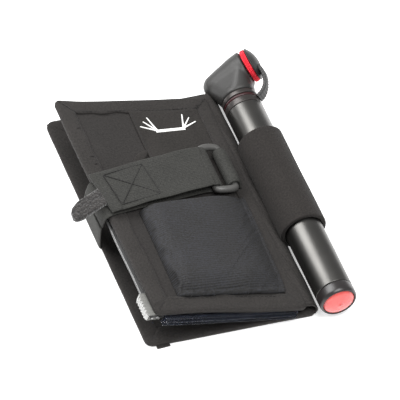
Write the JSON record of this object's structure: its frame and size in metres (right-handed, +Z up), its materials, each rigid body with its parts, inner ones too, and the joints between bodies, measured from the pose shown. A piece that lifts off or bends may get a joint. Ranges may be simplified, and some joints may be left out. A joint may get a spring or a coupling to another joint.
{
  "type": "bicycle tool wrap with mini pump",
  "caption": "Folded fabric tool wrap with a clear zip pouch, tool pockets, a cinch strap with a loop, and a telescoping mini pump in a side sleeve.",
  "frame": {"origin": "centre of the flat underside of the base panel, on the surface the wrap lies on", "axes": "+Z up; +Y along the spine and the pump, towards the valve head; +X across the wrap towards the pump"},
  "size_m": [0.1467, 0.1878, 0.0365],
  "materials": {
    "nylon": "matte woven nylon",
    "binding": "folded binding tape with a stitched edge",
    "pocket_nylon": "matte woven nylon",
    "neoprene": "jersey-faced neoprene",
    "webbing": "ribbed webbing",
    "stretch": "ribbed stretch cloth",
    "elastic": "elastic binding",
    "hook": "hook tape",
    "thread": "black sewing thread",
    "knit": "coarse looped knit",
    "print": "white print",
    "ring_plastic": "moulded acetal",
    "film": "clear vinyl film",
    "rail": "translucent white",
    "slider": "translucent white, ribbed",
    "head_plastic": "fine spark-eroded texture",
    "seal_rubber": "matte",
    "valve_brass": "turned",
    "collar": "satin grey anodised",
    "o_ring": "dark red",
    "barrel_metal": "polished",
    "bush_plastic": "moulded",
    "red_ring": "red anodised, knurled",
    "cap_rubber": "semi-matte",
    "tube_metal": "satin grey anodised",
    "cap_plastic": "smoky black",
    "lens_plastic": "translucent pinkish red",
    "rod_steel": "ground",
    "seal_ring": "greased"
  },
  "bodies": {
    "base": {"base_panel": "nylon", "base_binding": "binding", "spine_panel": "nylon", "pump_sleeve": "neoprene", "sleeve_wing": "nylon", "strap_wrap": "webbing"},
    "panel": {"top_panel": "nylon", "top_binding": "binding", "tool_pocket": "pocket_nylon", "tool_icon": "print", "stretch_pocket": "stretch", "pocket_hem": "elastic", "ring_tab": "webbing", "strap_ring": "ring_plastic", "strap_run": "webbing"},
    "tail": {"strap_tail": "webbing", "hook_patch": "hook", "box_stitch": "thread", "pull_tab": "knit"},
    "page": {"pouch_front_film": "film", "pouch_back_film": "film", "pouch_tape": "binding", "zip_rail": "rail"},
    "slider": {"zip_slider": "slider"},
    "pump": {"pump_head": "head_plastic", "head_seal": "seal_rubber", "check_valve": "valve_brass", "neck_collar": "collar", "neck_o_ring": "o_ring", "inner_barrel": "barrel_metal", "barrel_bush": "bush_plastic", "cap_tether": "cap_rubber"},
    "lock_ring": {"clamp_ring": "red_ring"},
    "cap": {"dust_cap": "cap_rubber"},
    "handle": {"handle_tube": "tube_metal", "end_cap": "cap_plastic", "end_lens": "lens_plastic", "piston_rod": "rod_steel", "piston": "bush_plastic", "piston_seal": "seal_ring"}
  },
  "joints": [
    {"name": "panel_open", "type": "hinge", "parent": "base", "child": "panel", "pos_m": [0.043, 0, 0.009], "axis": [0, 1, 0], "range_deg": [0, 48]},
    {"name": "page_turn", "type": "hinge", "parent": "base", "child": "page", "pos_m": [0.043, 0, 0.0058], "axis": [0, 1, 0], "range_deg": [0, 24]},
    {"name": "tail_peel", "type": "hinge", "parent": "panel", "child": "tail", "pos_m": [0.01794, 0.0152, 0.02337], "axis": [0, 1, 0], "range_deg": [0, 105]},
    {"name": "zip_slide", "type": "slide", "parent": "page", "child": "slider", "axis": [0, 1, 0], "range_m": [0, 0.13]},
    {"name": "pump_pull", "type": "slide", "parent": "base", "child": "pump", "axis": [0, 1, 0], "range_m": [0, 0.125]},
    {"name": "pump_stroke", "type": "slide", "parent": "pump", "child": "handle", "axis": [0, -1, 0], "range_m": [0, 0.105]},
    {"name": "ring_turn", "type": "hinge", "parent": "pump", "child": "lock_ring", "pos_m": [0.06, 0.0815, 0.014], "axis": [0.8829, 0, 0.4695], "range_deg": [0, 270]},
    {"name": "cap_swing", "type": "hinge", "parent": "pump", "child": "cap", "pos_m": [0.07695, 0.0709, 0.02301], "axis": [0.4695, 0, -0.8829], "range_deg": [0, 120]}
  ],
  "couplings": [
    {"joint": "page_turn", "follows": "panel_open", "ratio": 0.5}
  ]
}
